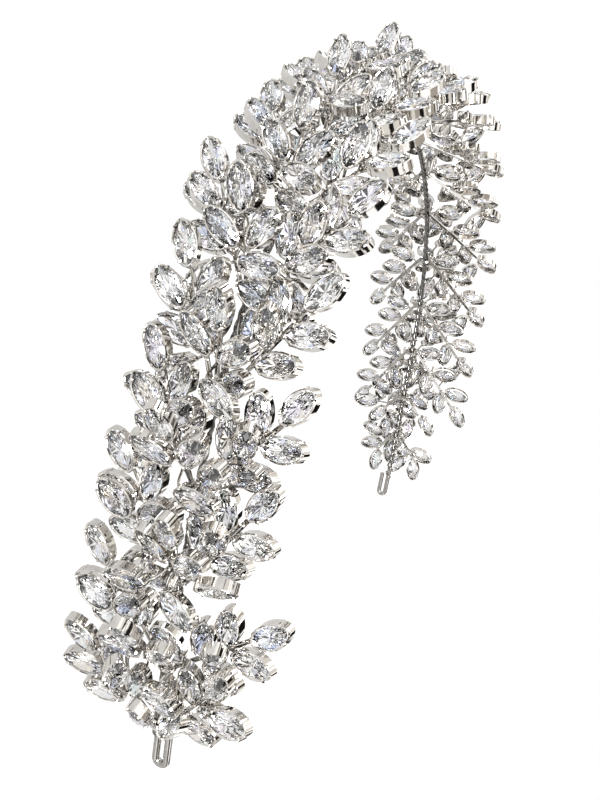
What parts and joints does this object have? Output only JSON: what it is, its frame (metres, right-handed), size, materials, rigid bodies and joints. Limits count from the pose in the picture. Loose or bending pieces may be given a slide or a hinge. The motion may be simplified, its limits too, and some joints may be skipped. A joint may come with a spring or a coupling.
{
  "type": "crystal leaf headband",
  "caption": "Open arch of leafy silver sprays set with navette crystals on a wire spine, with a narrow fastening loop at each end, worn over the head.",
  "frame": {"origin": "centre of the bounding box's bottom face: the band lies on its left side, on the tips of its left sprigs", "axes": "+X across the arch from the near leg to the far leg, +Y up the arch from the loops to the apex, +Z across the width of the band"},
  "size_m": [0.195, 0.1522, 0.0468],
  "materials": {
    "silver_sprays": "polished plating",
    "silver_wire": "polished plating",
    "binding_wire": "bright drawn wire",
    "crystal": "cut and polished clear crystal"
  },
  "bodies": {
    "root": {"spine": "silver_wire", "binding_near": "binding_wire", "binding_far": "binding_wire", "spray_01": "silver_sprays", "spray_02": "silver_sprays", "spray_03": "silver_sprays", "spray_04": "silver_sprays", "spray_05": "silver_sprays", "spray_06": "silver_sprays", "spray_07": "silver_sprays", "spray_08": "silver_sprays", "spray_09": "silver_sprays", "spray_10": "silver_sprays", "spray_11": "silver_sprays", "spray_12": "silver_sprays", "spray_13": "silver_sprays", "spray_14": "silver_sprays", "spray_15": "silver_sprays", "spray_16": "silver_sprays", "spray_17": "silver_sprays", "spray_18": "silver_sprays", "spray_19": "silver_sprays", "stones_near": "crystal", "stones_far": "crystal"}
  },
  "joints": []
}
